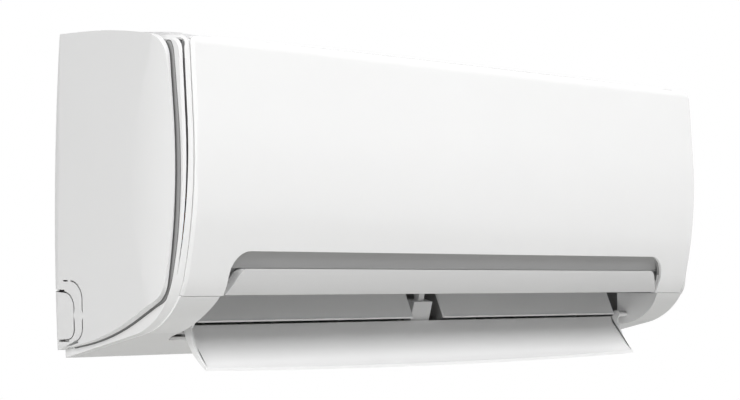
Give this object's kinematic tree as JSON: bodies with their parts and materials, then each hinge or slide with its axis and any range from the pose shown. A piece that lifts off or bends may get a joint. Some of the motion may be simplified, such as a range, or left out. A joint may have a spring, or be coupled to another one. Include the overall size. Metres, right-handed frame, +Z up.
{
  "type": "mini split indoor unit",
  "caption": "Wall-mounted air conditioner indoor unit with a hinged front panel, motorised outlet flap, swivelling vanes, cross-flow fan, finned coil and wall plate.",
  "frame": {"origin": "on the wall, at the middle of the wall plate's four screw holes", "axes": "+X along the unit to the right as seen from the front, -Y out of the wall towards the room, +Z up"},
  "size_m": [0.802, 0.1894, 0.3104],
  "materials": {
    "panel_gloss": "glossy moulded white",
    "casing_white": "satin-gloss moulded white",
    "cover_matte": "fine matte white",
    "bar_pale": "pale grey, lightly frosted",
    "flap_white": "glossy white",
    "louver_grey": "satin grey",
    "vane_grey": "satin grey",
    "chassis_grey": "matte light grey",
    "inner_white": "matte",
    "filter_grey": "fine mesh in a moulded frame",
    "trim_white": "satin",
    "rotor_black": "moulded, satin",
    "rubber_black": "matte",
    "fin_aluminium": "thin bare fins",
    "plated_steel": "zinc plated",
    "copper": "drawn copper",
    "brass_nut": "turned",
    "motor_steel": "plated shell",
    "bright_steel": "ground",
    "board_green": "solder mask",
    "terminal_ivory": "moulded"
  },
  "bodies": {
    "base": {"front_casing": "casing_white", "intake_grille": "casing_white", "left_side_cover": "cover_matte", "right_side_cover": "cover_matte", "display_bar": "bar_pale", "centre_bracket": "louver_grey", "vane_carrier_left": "vane_grey", "vane_carrier_right": "vane_grey", "rear_chassis": "chassis_grey", "drain_pan": "inner_white", "electrical_box": "inner_white", "screw_caps": "trim_white", "panel_catches": "trim_white", "drain_plug": "rubber_black", "bearing_holder": "rubber_black", "room_sensor": "rubber_black", "coil_front_lower": "fin_aluminium", "coil_front_upper": "fin_aluminium", "coil_rear": "fin_aluminium", "coil_peak_cover": "plated_steel", "coil_plate_left": "plated_steel", "coil_plate_right": "plated_steel", "mounting_plate": "plated_steel", "pipe_clamp": "plated_steel", "motor_clamp": "plated_steel", "box_cover": "plated_steel", "coil_tubes": "copper", "return_bends": "copper", "suction_pipe": "copper", "liquid_pipe": "copper", "flare_nuts": "brass_nut", "fan_motor": "motor_steel", "flap_motor": "motor_steel", "louver_motor": "motor_steel", "fan_bearing": "bright_steel", "casing_screws": "bright_steel", "display_board": "board_green", "circuit_board": "board_green", "terminal_block": "terminal_ivory"},
    "panel": {"front_panel": "panel_gloss"},
    "main_flap": {"flap": "flap_white"},
    "inner_louver": {"louver_left": "louver_grey", "louver_right": "louver_grey", "louver_shaft": "bright_steel"},
    "fan": {"fan_rotor": "rotor_black", "fan_shaft": "bright_steel"},
    "filter_l": {"filter_left": "filter_grey"},
    "filter_r": {"filter_right": "filter_grey"},
    "button": {"emergency_button": "trim_white"},
    "bar_left": {"link_bar_left": "vane_grey"},
    "bar_right": {"link_bar_right": "vane_grey"},
    "vane1": {"vane_1": "vane_grey"},
    "vane2": {"vane_2": "vane_grey"},
    "vane3": {"vane_3": "vane_grey"},
    "vane4": {"vane_4": "vane_grey"},
    "vane5": {"vane_5": "vane_grey"},
    "vane6": {"vane_6": "vane_grey"},
    "vane7": {"vane_7": "vane_grey"},
    "vane8": {"vane_8": "vane_grey"}
  },
  "joints": [
    {"name": "panel_hinge", "type": "hinge", "parent": "base", "child": "panel", "pos_m": [0, -0.17199, 0.1271], "axis": [1, 0, 0], "range_deg": [-70, 0]},
    {"name": "flap_hinge", "type": "hinge", "parent": "base", "child": "main_flap", "pos_m": [0, -0.12058, -0.11763], "axis": [1, 0, 0], "range_deg": [-84, 0]},
    {"name": "louver_hinge", "type": "hinge", "parent": "base", "child": "inner_louver", "pos_m": [0, -0.11, -0.09001], "axis": [1, 0, 0], "range_deg": [-60, 0]},
    {"name": "fan_spin", "type": "hinge", "parent": "base", "child": "fan", "pos_m": [0, -0.08108, -0.03209], "axis": [1, 0, 0], "continuous": true},
    {"name": "filter_left_slide", "type": "slide", "parent": "base", "child": "filter_l", "axis": [0, 0.0804, 0.9968], "range_m": [0, 0.17]},
    {"name": "filter_right_slide", "type": "slide", "parent": "base", "child": "filter_r", "axis": [0, 0.0804, 0.9968], "range_m": [0, 0.17]},
    {"name": "button_press", "type": "slide", "parent": "base", "child": "button", "axis": [0, 1, 0], "range_m": [0, 0.002], "stiffness_N_per_m": 120},
    {"name": "vane_1_turn", "type": "hinge", "parent": "base", "child": "vane1", "pos_m": [-0.298, -0.08902, -0.1301], "axis": [0, 0, 1], "range_deg": [-30, 30]},
    {"name": "vane_2_turn", "type": "hinge", "parent": "base", "child": "vane2", "pos_m": [-0.209, -0.08902, -0.1301], "axis": [0, 0, 1], "range_deg": [-30, 30]},
    {"name": "vane_3_turn", "type": "hinge", "parent": "base", "child": "vane3", "pos_m": [-0.12, -0.08902, -0.1301], "axis": [0, 0, 1], "range_deg": [-30, 30]},
    {"name": "vane_4_turn", "type": "hinge", "parent": "base", "child": "vane4", "pos_m": [-0.031, -0.08902, -0.1301], "axis": [0, 0, 1], "range_deg": [-30, 30]},
    {"name": "vane_5_turn", "type": "hinge", "parent": "base", "child": "vane5", "pos_m": [0.031, -0.08902, -0.1301], "axis": [0, 0, 1], "range_deg": [-30, 30]},
    {"name": "vane_6_turn", "type": "hinge", "parent": "base", "child": "vane6", "pos_m": [0.12, -0.08902, -0.1301], "axis": [0, 0, 1], "range_deg": [-30, 30]},
    {"name": "vane_7_turn", "type": "hinge", "parent": "base", "child": "vane7", "pos_m": [0.209, -0.08902, -0.1301], "axis": [0, 0, 1], "range_deg": [-30, 30]},
    {"name": "vane_8_turn", "type": "hinge", "parent": "base", "child": "vane8", "pos_m": [0.298, -0.08902, -0.1301], "axis": [0, 0, 1], "range_deg": [-30, 30]},
    {"name": "link_bar_left_turn", "type": "hinge", "parent": "vane1", "child": "bar_left", "pos_m": [-0.298, -0.10002, -0.08793], "axis": [0, 0, 1], "range_deg": [-30, 30]},
    {"name": "link_bar_right_turn", "type": "hinge", "parent": "vane5", "child": "bar_right", "pos_m": [0.031, -0.10002, -0.08793], "axis": [0, 0, 1], "range_deg": [-30, 30]}
  ],
  "couplings": [
    {"joint": "vane_2_turn", "follows": "vane_1_turn", "ratio": 1},
    {"joint": "vane_3_turn", "follows": "vane_1_turn", "ratio": 1},
    {"joint": "vane_4_turn", "follows": "vane_1_turn", "ratio": 1},
    {"joint": "link_bar_left_turn", "follows": "vane_1_turn", "ratio": -1},
    {"joint": "vane_6_turn", "follows": "vane_5_turn", "ratio": 1},
    {"joint": "vane_7_turn", "follows": "vane_5_turn", "ratio": 1},
    {"joint": "vane_8_turn", "follows": "vane_5_turn", "ratio": 1},
    {"joint": "link_bar_right_turn", "follows": "vane_5_turn", "ratio": -1}
  ]
}
